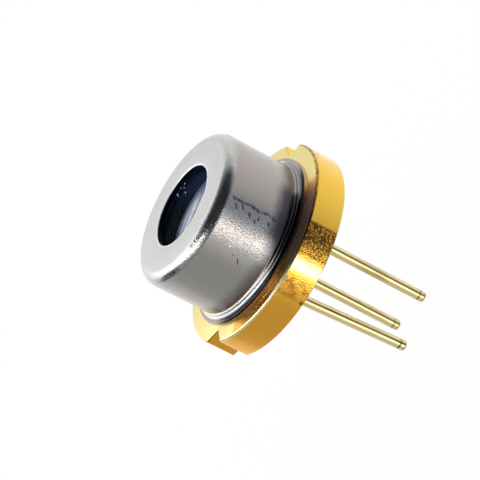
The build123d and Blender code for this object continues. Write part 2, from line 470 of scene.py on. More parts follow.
def towards(tree, way, target, inner, outer):
    """One where a direction is within an angle of another, easing to nothing further off, in degrees."""
    turn = vector_maths(tree, "DOT_PRODUCT", way, target)
    return span(tree, turn, cos(radians(outer)), cos(radians(inner)))


def sector(tree, vector, stretch):
    """One on a stretch round the axis: its azimuth, and the half angles where it starts and ends to fade."""
    azimuth, inner, outer = stretch
    flat = vector_maths(tree, "NORMALIZE", vector_maths(tree, "MULTIPLY", vector, (1, 1, 0)))
    return towards(tree, flat, facing(radians(azimuth)), inner, outer)


def on(tree, stretch):
    """One on a stretch of the piece round the axis."""
    return sector(tree, place(tree), stretch)


def along(tree, axis):
    """How far a point lies along an axis."""
    return vector_maths(tree, "DOT_PRODUCT", place(tree), axis)


def rise(tree):
    """How high a point lies above the stem's front face."""
    return along(tree, (0, 0, 1))


def reach(tree):
    """How far a point lies from the beam's axis."""
    return vector_maths(tree, "LENGTH", place(tree, (1, 1, 0)))


def on_wall(radius, azimuth, height):
    """Point on an upright wall round the axis."""
    return facing(radians(azimuth)) * radius + Vector((0, 0, height))


def across_wall(azimuth, lean=0.0):
    """Direction round a wall at an azimuth, leaning upwards, in degrees."""
    level_way = Vector((cos(radians(azimuth)), sin(radians(azimuth)), 0))
    return level_way * cos(radians(lean)) + Vector((0, 0, sin(radians(lean))))


def streak(tree, middle, way, half_length, half_width):
    """One along a short straight mark, easing to nothing at its edges and ends."""
    offset = vector_maths(tree, "SUBTRACT", place(tree), middle)
    run = maths(tree, "ABSOLUTE", vector_maths(tree, "DOT_PRODUCT", offset, way))
    gap = vector_maths(tree, "LENGTH", vector_maths(tree, "CROSS_PRODUCT", offset, way))
    return product(tree, span(tree, run, half_length, half_length * MARK_CORE_LENGTH),
                   span(tree, gap, half_width, half_width * MARK_CORE_WIDTH))


# Stretches of the cap: azimuth, and the half angles where each starts and ends to fade, in degrees.
CRACK = (7.0, 8.0, 14.0)
CRACK_SPECKS = (2.5, 2.5, 6.5)
GRAIN = (-11.0, 9.0, 18.0)
# Stretches of painted shade: where the foot's is deepest, where it starts lower under the highlight, and
# where the brim's steps are dimmer.
SHADED_FOOT = (8.0, 20.0, 33.0)
LIT_FOOT = (-15.0, 5.0, 13.0)
DIM_BRIM = (54.0, 22.0, 30.0)
# Stretch where the brim's top is painted black as shade.
BRIM_SHADE = (-13.7, 60.0, 80.0)
WARM_WALL = (-90.0, 10.0, 25.0)
COOL_WALL = (3.0, 6.0, 12.0)
SHADED_SHOULDER = (1.0, 18.0, 30.0)
# Scratches on the wall: azimuth in degrees, then height, half length and half width in millimetres.
SCRATCHES = (
    (-30.3, 1.52, 0.17, 0.030),
    (-27.7, 1.84, 0.05, 0.028),
    (4.2, 2.39, 0.17, 0.042),
    (2.6, 2.66, 0.18, 0.034),
    (1.3, 2.00, 0.12, 0.055),
    (1.5, 1.57, 0.08, 0.05),
    (-1.3, 1.69, 0.09, 0.045),
    (1.6, 1.09, 0.09, 0.05),
)
# How far the scratches lean, and where the bright chip and the shoulder's smudge are, in degrees.
SCRATCH_LEAN = 35.0
CHIP_AZIMUTH = -23.4
SMUDGE_AZIMUTH = -68.7
CHIP_HEIGHT = 2.14 * MM
# Inner and outer radius of the chip.
CHIP_RADII = (0.025 * MM, 0.05 * MM)
# Half length and half width of the smudge, and how far it lies inside the wall and below the top.
SMUDGE_HALVES = (0.85 * MM, 0.15 * MM)
SMUDGE_INSET = 0.09 * MM
SMUDGE_DROP = 0.18 * MM
# Half width of the line up the wall, how far it wanders and how ragged it is.
CRACK_HALF_WIDTH = 0.09 * MM
CRACK_WANDER = 0.5 * MM
CRACK_RAGGED = 0.3 * MM
# How strong the line and the specks beside it are, and the blue cast there.
CRACK_STRENGTH = 0.85
SPECK_STRENGTH = 0.6
COOL_STRENGTH = 0.8
# Heights on the cap where these changes start and end.
STAINS_FOOT = (0.7 * MM, 1.0 * MM)
STAINS_HEAD = (3.0 * MM, 2.85 * MM)
DARK_FOOT = (1.15 * MM, 0.5 * MM)
BRIGHT_STEPS = (0.43 * MM, 0.40 * MM)
GRAIN_FOOT = (0.5 * MM, 0.8 * MM)
GRAIN_HEAD = (3.15 * MM, 2.9 * MM)
PITTED_SHOULDER = (2.95 * MM, 3.15 * MM)
# How far the foot's painted shade wanders, and how far it rises on the deeply shaded stretch and drops on the
# lit one.
FOOT_RAGGED = 0.24 * MM
SHADE_RISE = 0.14 * MM
LIT_DROP = 0.25 * MM
# Where the wall turns from green to pink along X, how far that wanders, and teal to navy inside.
WARM_SIDE = (-2.4 * MM, -0.8 * MM)
WARM_WANDER = 3 * MM
NAVY_SIDE = (-0.5 * MM, 2.5 * MM)
# Sizes of the nickel's mottling, specks and pits, and depths of the mottling and the pits.
MOTTLE_SIZE = 0.35 * MM
SPECK_SIZE = 0.05 * MM
PIT_SIZE = 0.065 * MM
MOTTLE_DEPTH = 0.003 * MM
PIT_DEPTH = 0.008 * MM
# Roughness of the cap's top, its wall and its inside, which is painted black as shade.
SATIN_NICKEL = (0.36, 0.44)
DULL_NICKEL = (0.17, 0.25)
BLACK_ROUGHNESS = 0.6


def wall_stains(tree, cap):
    """Dirt on the cap: a ragged line up the wall, specks and scratches, and a smudge on the shoulder."""
    height = rise(tree)
    fine = noise(tree, 0.09 * MM)
    wobble = noise(tree, 0.6 * MM, (0, 0, 1), detail=4.0, roughness=0.6)
    sideways = maths(tree, "SUBTRACT", along(tree, across_wall(CRACK[0])), sway(tree, wobble, CRACK_WANDER))
    gap = maths(tree, "ADD", maths(tree, "ABSOLUTE", sideways), sway(tree, fine, CRACK_RAGGED))
    crack = product(tree, span(tree, gap, CRACK_HALF_WIDTH, 0.0), on(tree, CRACK), CRACK_STRENGTH)
    blots = noise(tree, 0.13 * MM, (1, 1, 0.7), detail=2.0)
    specks = product(tree, span(tree, blots, 0.62, 0.72), on(tree, CRACK_SPECKS), SPECK_STRENGTH)
    stains = either(tree, crack, specks)
    for azimuth, mark_height, half_length, half_width in SCRATCHES:
        middle = on_wall(cap.radius, azimuth, mark_height * MM)
        mark = streak(tree, middle, across_wall(azimuth, SCRATCH_LEAN), half_length * MM, half_width * MM)
        stains = either(tree, stains, mark)
    stains = product(tree, stains, span(tree, height, *STAINS_FOOT), span(tree, height, *STAINS_HEAD))
    middle = on_wall(cap.radius - SMUDGE_INSET, SMUDGE_AZIMUTH, CAP_TOP - SMUDGE_DROP)
    smudge = streak(tree, middle, across_wall(SMUDGE_AZIMUTH), *SMUDGE_HALVES)
    return either(tree, stains, product(tree, smudge, span(tree, fine, 0.36, 0.56, 0.25, 0.95)))


def painted_inner_shade(tree, cap):
    """One where shade is painted: on the cap's inside and on the aperture's wall, below its bright edge."""
    aperture = product(tree, span(tree, reach(tree), cap.aperture + 0.04 * MM, cap.aperture + 0.02 * MM),
                       span(tree, rise(tree), CAP_TOP - 0.02 * MM, CAP_TOP - 0.04 * MM))
    inside = product(tree, span(tree, reach(tree), cap.radius - 0.1 * MM, cap.radius - 0.15 * MM),
                     span(tree, rise(tree), CAP_CEILING + 0.04 * MM, CAP_CEILING + 0.01 * MM))
    return either(tree, aperture, inside)


def wall_tone(tree, cap):
    """Nickel on the wall, darker than the top partly as painted shade: pink on one side and at its end, green
    on the other, blue by the scratches.
    """
    drift = sway(tree, noise(tree, 1.6 * MM, detail=2.0), WARM_WANDER)
    drift = maths(tree, "ADD", along(tree, (1, 0, 0)), drift)
    # Partly painted shade: the wall's tones are darker than the top's.
    tone = blend(tree, span(tree, drift, *WARM_SIDE), cap.green_wall_shade, cap.warm_wall_shade)
    tone = blend(tree, on(tree, WARM_WALL), tone, cap.warm_wall_shade)
    tone = blend(tree, product(tree, on(tree, COOL_WALL), COOL_STRENGTH), tone, cap.cool_wall_shade)
    chip = near(tree, on_wall(cap.radius, CHIP_AZIMUTH, CHIP_HEIGHT), *CHIP_RADII)
    return blend(tree, chip, tone, cap.edge_highlight_and_chip_tint)


def brim_tone(tree, cap, tone):
    """The wall's colour with painted shade towards the brim, deepest on one stretch, then bright steps, some
    of them painted darker, a top painted black as shade, and a brown seam.
    """
    height = rise(tree)
    painted_shade = on(tree, SHADED_FOOT)
    # Painted shade and dark reflection on the foot, deepest on one stretch and starting lower where the
    # wall's highlight runs down.
    foot = blend(tree, painted_shade, cap.foot_shade_tint, cap.deep_shade_tint)
    ragged = maths(tree, "ADD", height, sway(tree, noise(tree, MOTTLE_SIZE), FOOT_RAGGED))
    ragged = maths(tree, "MULTIPLY_ADD", painted_shade, -SHADE_RISE, ragged)
    ragged = maths(tree, "MULTIPLY_ADD", on(tree, LIT_FOOT), LIT_DROP, ragged)
    tone = blend(tree, span(tree, ragged, *DARK_FOOT), tone, foot)
    dim = on(tree, DIM_BRIM)
    # Painted shade on the brim's steps along the deeply shaded stretch and, weaker, along the dim one.
    steps = blend(tree, either(tree, painted_shade, product(tree, dim, 0.65)), cap.brim_tint, cap.deep_shade_tint)
    tone = blend(tree, span(tree, height, *BRIGHT_STEPS), tone, steps)
    bare = product(tree, dim, span(tree, reach(tree), BRIM_RADIUS - 0.07 * MM, BRIM_RADIUS - 0.12 * MM))
    # Painted shade: the brim's top is black on the stretch facing the camera, except its inner part along the
    # dim stretch.
    black = product(tree, on(tree, BRIM_SHADE), maths(tree, "SUBTRACT", 1.0, bare))
    weld = span(tree, height, cap.brim_thickness + 0.04 * MM, cap.brim_thickness + 0.015 * MM)
    tone = blend(tree, weld, tone, blend(tree, black, cap.bare_weld_tint, cap.brim_shade_tint))
    # The seam is painted darker along the deeply shaded stretch.
    seam = span(tree, height, cap.brim_thickness - 0.06 * MM, cap.brim_thickness - 0.1 * MM)
    return blend(tree, seam, tone, blend(tree, painted_shade, cap.seam_tint, cap.seam_shade_tint))


def nickel_finish(cap):
    """Drawn nickel-plated sheet: satin top with a painted highlight round the aperture, a wall darker partly
    as painted shade, painted shade and dark reflection on one side of the shoulder, the foot, the brim and
    the inside, grain and stained scratches.
    """
    finish, tree, inputs = new_finish("nickel_plating", Metallic=1.0)
    height = rise(tree)
    mottle = noise(tree, MOTTLE_SIZE)
    inside_shade = painted_inner_shade(tree, cap)
    # Painted highlight: the top is coloured brighter near the aperture's edge.
    edge = span(tree, reach(tree), cap.aperture + 0.12 * MM, cap.aperture + 0.06 * MM)
    face = blend(tree, edge, cap.face_tint, cap.edge_highlight_and_chip_tint)
    # Painted dark reflection: one side of the shoulder is coloured darker and bluer.
    shade = span(tree, reach(tree), cap.crown_radius + 0.3 * MM, cap.crown_radius + 0.45 * MM)
    face = blend(tree, product(tree, on(tree, SHADED_SHOULDER), shade), face, cap.shade_tint)
    below = span(tree, height, CAP_TOP - 0.15 * MM, CAP_TOP - 0.5 * MM)
    tone = brim_tone(tree, cap, blend(tree, below, face, wall_tone(tree, cap)))
    upright = product(tree, span(tree, height, *GRAIN_FOOT), span(tree, height, *GRAIN_HEAD))
    grainy = product(tree, on(tree, GRAIN), upright)
    pits = product(tree, span(tree, cells(tree, SPECK_SIZE, "Color"), 0.5, 0.7), grainy, 0.25)
    tone = blend(tree, either(tree, pits, wall_stains(tree, cap)), tone, cap.stain)
    # Painted shade inside the cap, teal to navy along X.
    sideways = span(tree, along(tree, (1, 0, 0)), *NAVY_SIDE)
    dark_tone = blend(tree, sideways, cap.teal_shade_tint, cap.navy_shade_tint)
    feed(tree, inputs["Base Color"], blend(tree, inside_shade, tone, dark_tone))
    on_side = span(tree, reach(tree), cap.crown_radius + 0.1 * MM, cap.crown_radius + 0.3 * MM)
    outside = blend_value(tree, on_side, vary(tree, mottle, *SATIN_NICKEL), vary(tree, mottle, *DULL_NICKEL))
    feed(tree, inputs["Roughness"], blend_value(tree, inside_shade, outside, BLACK_ROUGHNESS))
    on_shoulder = product(tree, span(tree, height, *PITTED_SHOULDER), on_side)
    rough = either(tree, span(tree, grainy, 0.0, 1.0, 0.15, 0.65), on_shoulder)
    pitted = product(tree, cells(tree, PIT_SIZE, "Distance"), rough, span(tree, inside_shade, 1.0, 0.0))
    feed(tree, inputs["Normal"], relief(tree, pitted, PIT_DEPTH, relief(tree, mottle, MOTTLE_DEPTH)))
    return finish


# Stretches of the stem: azimuth, and the half angles where each starts and ends to fade, in degrees.
SCUFFED_RIM = (1.3, 8.0, 10.0)
SCUFF_CORE = (6.3, 4.0, 11.0)
SMOKY_RIM = (-24.5, 4.0, 7.0)
HIGHLIGHT_STRIPE = (-13.0, 2.0, 4.5)
SMOOTH_RIM = (-13.0, 3.0, 6.0)
COARSE_RIM = (-11.0, 17.0, 21.0)
EDGE_HIGHLIGHT = (-49.0, 32.0, 36.0)
BROWN_EDGE = (48.0, 38.0, 44.0)
CAP_REFLECTION = (-15.0, 51.0, 57.0)
SHADED_FACE = (8.0, 15.0, 32.0)
# Nicks on the rim: azimuth in degrees, then height and radius in millimetres.
NICKS = (
    (-30.2, -1.29, 0.13),
    (64.5, -0.36, 0.08),
    (61.5, -0.27, 0.10),
)
# Where the rim turns from redder to bright gold along X, and how far that wanders.
BRIGHT_SIDE = (-2.5 * MM, 2 * MM)
BRIGHT_WANDER = 5 * MM
# How much browner the middle of the scuffed stretch is.
SCUFF_STRENGTH = 0.25
# Size of the rim's pits, and the heights where they start and end to fade in.
RIM_PIT_SIZE = 0.06 * MM
RIM_TOP = (-0.1 * MM, -0.14 * MM)
# Roughness of the rim, the flat faces, the stretch of painted shade and the edge's painted highlight.
BRIGHT_GOLD = (0.09, 0.14)
SATIN_GOLD = (0.20, 0.28)
SHADE_ROUGHNESS = 0.5
EDGE_ROUGHNESS = 0.36


def rim_nicks(tree):
    """Dirt in the nicks of the rim, paler in patches."""
    nicks = [(on_wall(STEM_RADIUS, azimuth, height * MM), radius * MM) for azimuth, height, radius in NICKS]
    return product(tree, spots(tree, nicks), span(tree, noise(tree, 0.2 * MM), 0.4, 0.65, 1.0, 0.55))


def rim_tone(tree, stem):
    """Gold on the rim: redder on one side, with a scuffed stretch, a smoky one and a pale stripe painted as a
    highlight.
    """
    drift = sway(tree, noise(tree, 1.2 * MM, detail=2.0), BRIGHT_WANDER)
    drift = maths(tree, "ADD", along(tree, (1, 0, 0)), drift)
    tone = blend(tree, span(tree, drift, *BRIGHT_SIDE), stem.deep_tint, stem.tint)
    specks = cells(tree, SPECK_SIZE, "Color")
    brown = maths(tree, "MULTIPLY_ADD", on(tree, SCUFF_CORE), SCUFF_STRENGTH, specks)
    brown = span(tree, brown, 0.35, 0.75)
    tone = blend(tree, product(tree, brown, on(tree, SCUFFED_RIM)), tone, stem.scuffed_tint)
    smoke = span(tree, noise(tree, 0.3 * MM), 0.4, 0.65, 0.1, 0.65)
    tone = blend(tree, product(tree, on(tree, SMOKY_RIM), smoke), tone, stem.scuffed_tint)
    # Painted highlight: a pale, speckled stripe down the rim.
    stripe_highlight = product(tree, on(tree, HIGHLIGHT_STRIPE), span(tree, specks, 0.35, 0.55, 1.0, 0.6))
    return blend(tree, stripe_highlight, tone, stem.worn_and_highlight_tint)


def gold_finish(stem):
    """Bright gold plating: satin flat faces with a painted reflection of the cap and painted shade by its
    foot, a painted highlight on the front edge, and a rim with nicks.
    """
    finish, tree, inputs = new_finish("gold_plating", Metallic=1.0)
    depth = rise(tree)
    flat = either(tree, span(tree, depth, -0.05 * MM, -0.01 * MM),
                  span(tree, depth, STEM_REAR + 0.06 * MM, STEM_REAR + 0.02 * MM))
    painted_shade = on(tree, SHADED_FACE)
    # Painted reflection: the flat faces are redder where they reflect the cap.
    flat_tone = blend(tree, on(tree, CAP_REFLECTION), stem.front_tint, stem.cap_reflection_tint)
    # Painted shade on the flat faces beside the cap's foot.
    flat_tone = blend(tree, painted_shade, flat_tone, stem.deep_shade_tint)
    tone = blend(tree, flat, rim_tone(tree, stem), flat_tone)
    edge = product(tree, span(tree, depth, -stem.front_round - 0.005 * MM, -stem.front_round + 0.015 * MM),
                   span(tree, reach(tree), STEM_RADIUS - 0.1 * MM, STEM_RADIUS - 0.08 * MM))
    patches = span(tree, noise(tree, 0.15 * MM), 0.35, 0.6, 0.9, 0.4)
    tone = blend(tree, product(tree, edge, on(tree, BROWN_EDGE), patches), tone, stem.scuffed_tint)
    # Painted highlight: the front edge is coloured paler on one stretch.
    pale = product(tree, edge, on(tree, EDGE_HIGHLIGHT))
    tone = blend(tree, pale, tone, stem.edge_highlight_tint)
    feed(tree, inputs["Base Color"], blend(tree, rim_nicks(tree), tone, stem.grime))
    clouds = noise(tree, 1.2 * MM, detail=2.0)
    satin = blend_value(tree, painted_shade, vary(tree, clouds, *SATIN_GOLD), SHADE_ROUGHNESS)
    sheen = blend_value(tree, flat, vary(tree, clouds, *BRIGHT_GOLD), satin)
    feed(tree, inputs["Roughness"], blend_value(tree, pale, sheen, EDGE_ROUGHNESS))
    rough = product(tree, span(tree, on(tree, COARSE_RIM), 0.0, 1.0, 0.05, 1.0),
                    span(tree, on(tree, SMOOTH_RIM), 0.0, 1.0, 1.0, 0.25))
    pitted = product(tree, cells(tree, RIM_PIT_SIZE, "Distance"), rough, span(tree, depth, *RIM_TOP))
    feed(tree, inputs["Normal"], relief(tree, pitted, PIT_DEPTH))
    return finish


# Dark lines along the leads, painted as reflections: the azimuth they face, and half angles as above, in
# degrees.
DARK_REFLECTION_LINES = (
    (10.0, 6.0, 15.0),
    (62.0, 6.0, 15.0),
    (-90.0, 6.0, 15.0),
)
# Height of the tarnished ring above the tips, its half widths, and the heights of the painted shade on the
# tip.
TARNISHED_RING = 0.32 * MM
RING_HALVES = (0.06 * MM, 0.03 * MM)
SHADED_TIP = (0.14 * MM, 0.05 * MM)


def lead_finish(leads):
    """Plated drawn wire with lines along it, a tarnished ring near the tip, painted shade on the tip and dark
    reflections painted along its sides, weaker in places.
    """
    finish, tree, inputs = new_finish("lead_plating", Metallic=1.0)
    lines = noise(tree, 0.05 * MM, (1, 1, 0.04), detail=2.0)
    patches = noise(tree, 0.5 * MM, (1, 1, 0.3))
    tone = blend(tree, span(tree, patches, 0.45, 0.75), leads.tint, leads.worn_and_highlight_tint)
    from_tip = maths(tree, "SUBTRACT", rise(tree), CAD_LOW.z)
    from_ring = maths(tree, "ABSOLUTE", maths(tree, "SUBTRACT", from_tip, TARNISHED_RING))
    # A tarnished ring near the tip, and painted shade on the tip itself.
    dark = either(tree, span(tree, from_ring, *RING_HALVES), span(tree, from_tip, *SHADED_TIP))
    # Painted dark reflections: lines along each lead's sides that face these azimuths.
    side = tree.nodes.new("ShaderNodeNewGeometry").outputs["Normal"]
    dark = either(tree, dark, *(sector(tree, side, line) for line in DARK_REFLECTION_LINES))
    dark = product(tree, dark, span(tree, patches, 0.3, 0.6, 0.9, 0.6))
    feed(tree, inputs["Base Color"], blend(tree, dark, tone, leads.tarnish_and_shade))
    feed(tree, inputs["Roughness"], vary(tree, patches, 0.18, 0.28))
    feed(tree, inputs["Normal"], relief(tree, lines, 0.001 * MM))
    return finish


def bead_finish(inside):
    """Dark sealing glass with a cloudy colour and a few bubbles."""
    finish, tree, inputs = new_finish("bead_glass", IOR=1.5, Roughness=0.12)
    clouds = noise(tree, 0.2 * MM)
    feed(tree, inputs["Base Color"], blend(tree, clouds, inside.bead, scaled(inside.bead, 0.45)))
    bubbles = noise(tree, 0.05 * MM, detail=1.0)
    feed(tree, inputs["Normal"], relief(tree, span(tree, bubbles, 0.6, 0.75), 0.002 * MM))
    return finish


# Dust on the window: X, Y and radius in millimetres.
DUST = (
    (1.17, 1.26, 0.05),
    (0.98, 1.16, 0.04),
    (0.74, 0.82, 0.05),
    (0.70, 1.56, 0.055),
    (0.98, 1.47, 0.035),
    (0.60, 1.36, 0.03),
)
# Where the film turns blue along X, and how solid the film and the dust are.
BLUE_SIDE = (0.1 * MM, 1.9 * MM)
FILM_ALPHA = (0.08, 0.14)
DUST_ALPHA = 0.8
# Where painted shade darkens the heat sink: from the axis, and along X.
SINK_OUTER = (1.85 * MM, 2.4 * MM)
SINK_SIDE = (0.5 * MM, 1.7 * MM)


def window_finish(inside):
    """Clear coated glass with a dark film and specks of dust."""
    finish, tree, inputs = new_finish("coated_window", Specular_IOR_Level=0.05)
    film = noise(tree, 1.1 * MM, detail=2.0)
    drift = maths(tree, "MULTIPLY_ADD", film, 0.8 * MM, along(tree, (1, 0, 0)))
    glass = blend(tree, span(tree, drift, *BLUE_SIDE), inside.window, inside.window_blue)
    dust = spots(tree, [(Vector((x * MM, y * MM, WINDOW_HIGH.z)), radius * MM) for x, y, radius in DUST])
    feed(tree, inputs["Base Color"], blend(tree, dust, glass, inside.dust))
    feed(tree, inputs["Alpha"], blend_value(tree, dust, vary(tree, film, *FILM_ALPHA), DUST_ALPHA))
    feed(tree, inputs["Roughness"], vary(tree, film, 0.04, 0.1))
    return finish


def sink_finish(inside):
    """Pale plating on copper, with milling lines and painted shade near its edge."""
    finish, tree, inputs = new_finish("heat_sink_plating")
    lines = noise(tree, 0.08 * MM, (0.07, 1, 1), detail=4.0, roughness=0.65)
    tone = blend(tree, span(tree, lines, 0.46, 0.6), inside.sink, scaled(inside.sink, 0.25))
    # Painted shade: the heat sink darkens away from the axis and towards +X.
    outer = span(tree, reach(tree), *SINK_OUTER)
    side = span(tree, along(tree, (1, 0, 0)), *SINK_SIDE)
    dark = product(tree, either(tree, outer, side), 0.9)
    feed(tree, inputs["Base Color"], blend(tree, dark, tone, inside.sink_shade))
    feed(tree, inputs["Roughness"], vary(tree, lines, 0.3, 0.5))
    feed(tree, inputs["Normal"], relief(tree, lines, 0.004 * MM))
    return finish


def grained_finish(name, tint, factor, size, roughness, depth=0.0, **values):
    """A colour with fine grains, whose tops have it times a factor, over a range of roughness."""
    finish, tree, inputs = new_finish(name, **values)
    grains = noise(tree, size)
    feed(tree, inputs["Base Color"], blend(tree, grains, tint, scaled(tint, factor)))
    feed(tree, inputs["Roughness"], vary(tree, grains, *roughness))
    if depth:
        feed(tree, inputs["Normal"], relief(tree, grains, depth))
    return finish


def frit_finish(inside):
    """Matt dark sealing glass."""
    return grained_finish("window_frit", inside.frit, factor=1.8, size=0.06 * MM, roughness=(0.55, 0.75),
                          depth=0.006 * MM, IOR=1.5)


def ceramic_finish(inside):
    """Fine-grained ceramic."""
    return grained_finish("submount_ceramic", inside.ceramic, factor=0.8, size=0.03 * MM,
                          roughness=(0.4, 0.6), depth=0.002 * MM, IOR=1.7)


def chip_finish(name, tint, roughness):
    """Polished semiconductor with a faint bloom."""
    return grained_finish(name, tint, factor=1.7, size=0.15 * MM, roughness=roughness, IOR=2.4)


def wire_finish(inside):
    """Soft gold wire."""
    return grained_finish("bond_gold", inside.wire, factor=0.8, size=0.02 * MM, roughness=(0.2, 0.3),
                          Metallic=1.0)


# Pieces

def cap_corners(cap):
    """The cap's section: brim, steps, wall, shoulder, top, aperture and the inside."""
    step = cap.radius + cap.step_width
    step_top = cap.brim_thickness + cap.step_rise
    ledge = cap.radius + cap.ledge_width
    ledge_top = step_top + cap.ledge_rise
    bore = cap.radius - cap.wall
    return [
        (BRIM_RADIUS, 0.0, 0.0),
        (BRIM_RADIUS, cap.brim_thickness, cap.edge_round),
        (step, cap.brim_thickness, 0.0),
        (step, step_top, cap.bead_round),
        (ledge, step_top, 0.0),
        (ledge, ledge_top, cap.bead_round),
        (cap.radius, ledge_top, 0.0),
        (cap.radius, CAP_TOP - cap.crown, cap.shoulder),
        (cap.crown_radius, CAP_TOP, cap.crown_round),
        (cap.aperture, CAP_TOP, cap.edge_round),
        (cap.aperture, CAP_CEILING, 0.0),
        (bore, CAP_CEILING, cap.shoulder - cap.wall),
        (bore, 0.0, 0.0),
    ]


class DIODE_OT_cap(bpy.types.Operator):
    """Turn the cap and plate it with nickel"""

    bl_idname = "diode.cap"
    bl_label = "Cap"

    def execute(self, context):
        cap = context.scene.diode_cap
        bm = turned(cap_corners(cap), cap.segments, closed=True, segments=CAP_SEGMENTS)
        add_piece("cap", bm, nickel_finish(cap), "cap_shell")
        return {"FINISHED"}


def v_notch(stem, turn):
    """Corners of a V notch, round the rim anticlockwise."""
    half = stem.notch_angle / 2
    apex = STEM_RADIUS - stem.notch_depth
    side = sqrt(STEM_RADIUS ** 2 - (apex * sin(half)) ** 2) - apex * cos(half)
    mouth_x = apex + side * cos(half)
    mouth_y = side * sin(half)
    spin = Matrix.Rotation(turn, 3, "Z")
    return [spin @ Vector(point) for point in ((mouth_x, -mouth_y, 0), (apex, 0, 0), (mouth_x, mouth_y, 0))]


def index_slot(stem):
    """Corners of the square slot on +Y, round the rim anticlockwise."""
    half = stem.slot_width / 2
    mouth = sqrt(STEM_RADIUS ** 2 - half ** 2)
    floor = STEM_RADIUS - stem.slot_depth
    return [Vector(point) for point in
            ((half, mouth, 0), (half, floor, 0), (-half, floor, 0), (-half, mouth, 0))]


def azimuth_of(point):
    """Angle of a point round Z."""
    return atan2(point.y, point.x)


def stem_outline(bm, stem):
    """Closed loop of edges: the notches joined by arcs of the rim, with each corner rounded."""
    notches = [v_notch(stem, 0.0), index_slot(stem), v_notch(stem, pi)]
    corners = []
    for notch, following in zip(notches, notches[1:] + notches[:1]):
        verts = [bm.verts.new(point) for point in notch]
        for start, end in zip(verts, verts[1:]):
            bm.edges.new((start, end))
        sweep = (azimuth_of(following[0]) - azimuth_of(notch[-1])) % (2 * pi)
        bmesh.ops.spin(bm, geom=[verts[-1]], cent=(0, 0, 0), axis=(0, 0, 1), dvec=(0, 0, 0), angle=sweep,
                       steps=round(STEM_STEPS * sweep / (2 * pi)), use_merge=False, use_normal_flip=False,
                       use_duplicate=False)
        corners += notch
    bmesh.ops.remove_doubles(bm, verts=bm.verts, dist=MERGE_DISTANCE)
    for corner in corners:
        vert = min(bm.verts, key=lambda other: (other.co - corner).length)
        before, after = (edge.other_vert(vert).co - corner for edge in vert.link_edges)
        rounded(bm, [vert], "VERTICES", stem.notch_round / tan(before.angle(after) / 2), NOTCH_SEGMENTS)


def edges_at(bm, height):
    """Edges that lie at a height."""
    return [edge for edge in bm.edges if all(abs(vert.co.z - height) < MERGE_DISTANCE for vert in edge.verts)]


def pierce(bm, holes):
    """Opens round holes for the beads through the two flat faces and gives them walls."""
    rims = {}
    for height, normal in ((STEM_FRONT, 1.0), (STEM_REAR, -1.0)):
        flat = max((face for face in bm.faces if abs(face.calc_center_median().z - height) < MERGE_DISTANCE),
                   key=lambda face: face.calc_area())
        border = flat.edges[:]
        bmesh.ops.delete(bm, geom=[flat], context="FACES_ONLY")
        for hole in holes:
            ring = bmesh.ops.create_circle(bm, cap_ends=False, radius=BEAD_RADIUS, segments=LEAD_STEPS,
                                           matrix=Matrix.Translation((hole.x, hole.y, height)))
            rims[hole.x, height] = list({edge for vert in ring["verts"] for edge in vert.link_edges})
            border += rims[hole.x, height]
        bmesh.ops.triangle_fill(bm, use_beauty=True, use_dissolve=False, edges=border, normal=(0, 0, normal))
    for hole in holes:
        bmesh.ops.bridge_loops(bm, edges=rims[hole.x, STEM_FRONT] + rims[hole.x, STEM_REAR])


def lead_centre(node):
    """Centre of a lead's top end, which is straight."""
    straight_from = STEM_REAR + 0.5 * MM
    top = [vert.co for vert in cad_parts[node].data.vertices if vert.co.z > straight_from]
    return Vector((sum(co.x for co in top) / len(top), sum(co.y for co in top) / len(top), 0.0))


class DIODE_OT_stem(bpy.types.Operator):
    """Cut the stem with its notches and holes and plate it with gold"""

    bl_idname = "diode.stem"
    bl_label = "Stem"

    def execute(self, context):
        stem = context.scene.diode_stem
        bm = bmesh.new()
        stem_outline(bm, stem)
        face = bmesh.ops.edgeloop_fill(bm, edges=bm.edges[:])["faces"][0]
        grown = bmesh.ops.extrude_face_region(bm, geom=[face])["geom"]
        bmesh.ops.translate(bm, verts=[part for part in grown if isinstance(part, bmesh.types.BMVert)],
                            vec=(0, 0, STEM_REAR))
        for height, bend in ((STEM_FRONT, stem.front_round), (STEM_REAR, stem.rear_round)):
            rounded(bm, edges_at(bm, height), "EDGES", bend, EDGE_SEGMENTS)
        bmesh.ops.recalc_face_normals(bm, faces=bm.faces)
        pierce(bm, [lead_centre("laser_lead"), lead_centre("monitor_lead")])
        bmesh.ops.recalc_face_normals(bm, faces=bm.faces)
        add_piece("stem", bm, gold_finish(stem), "stem_base")
        return {"FINISHED"}


def wire_corners(leads, radius, tip, top, *middle):
    """Section of a lead, from the middle of its tip to the middle of its top."""
    return [(0.0, tip, 0.0), (radius, tip, leads.tip_round), *middle, (radius, top, 0.0), (0.0, top, 0.0)]


